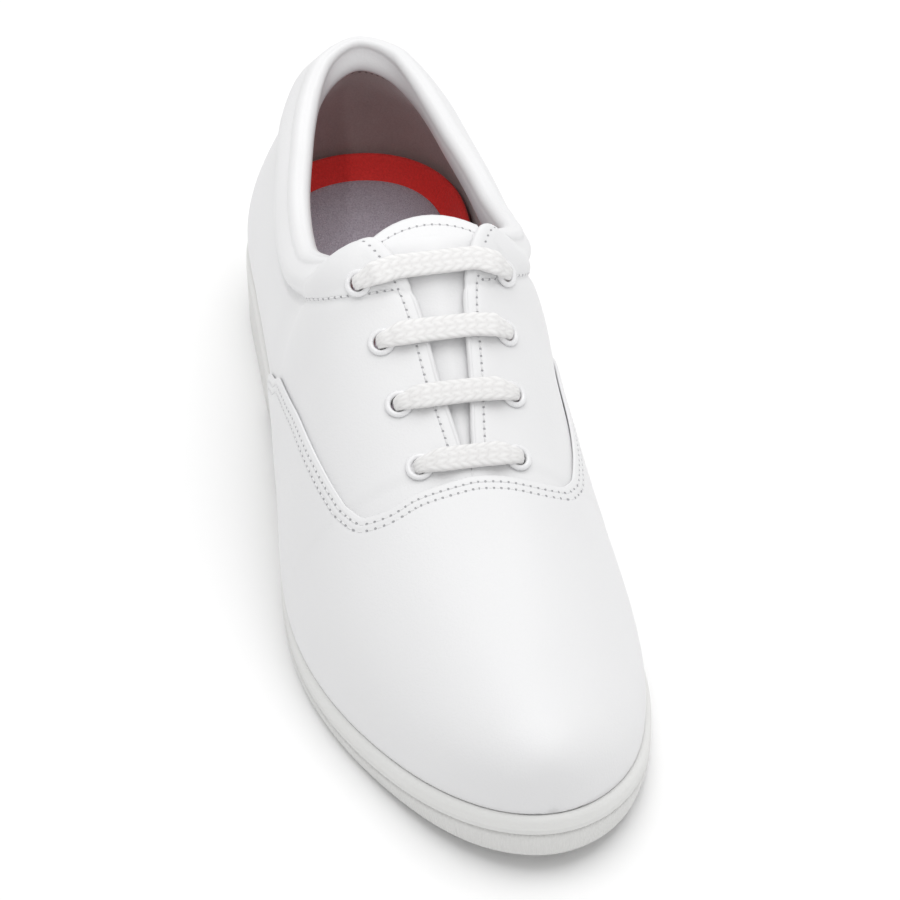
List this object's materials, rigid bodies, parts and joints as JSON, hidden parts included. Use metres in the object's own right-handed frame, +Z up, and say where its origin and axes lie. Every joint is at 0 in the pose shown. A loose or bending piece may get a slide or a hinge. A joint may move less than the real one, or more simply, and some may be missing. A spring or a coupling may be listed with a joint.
{
  "type": "marching band shoe",
  "caption": "Low laced right shoe: hollow leather upper with lapped vamp, padded collar and tongue on a two-layer rubber sole with low heel, footbed inside and straight lace bars.",
  "frame": {"origin": "on the floor under the middle of the shoe's box", "axes": "+X towards the toe, +Y towards the inner side of the foot, +Z up"},
  "size_m": [0.3001, 0.0996, 0.1023],
  "materials": {
    "white_leather": "smooth with a fine grain, satin",
    "white_rubber": "moulded, satin",
    "white_lace": "braided cord",
    "white_enamel": "gloss enamel",
    "red_foam": "matt foam",
    "grey_fabric": "woven, matt"
  },
  "bodies": {
    "root": {"outsole": "white_rubber", "midsole": "white_rubber", "upper": "white_leather", "vamp": "white_leather", "tongue": "white_leather", "footbed": "red_foam", "sock_lining": "grey_fabric", "eyelet_lateral_1": "white_enamel", "eyelet_lateral_2": "white_enamel", "eyelet_lateral_3": "white_enamel", "eyelet_lateral_4": "white_enamel", "eyelet_medial_1": "white_enamel", "eyelet_medial_2": "white_enamel", "eyelet_medial_3": "white_enamel", "eyelet_medial_4": "white_enamel", "lace_bar_1": "white_lace", "lace_bar_2": "white_lace", "lace_bar_3": "white_lace", "lace_bar_4": "white_lace"}
  },
  "joints": []
}
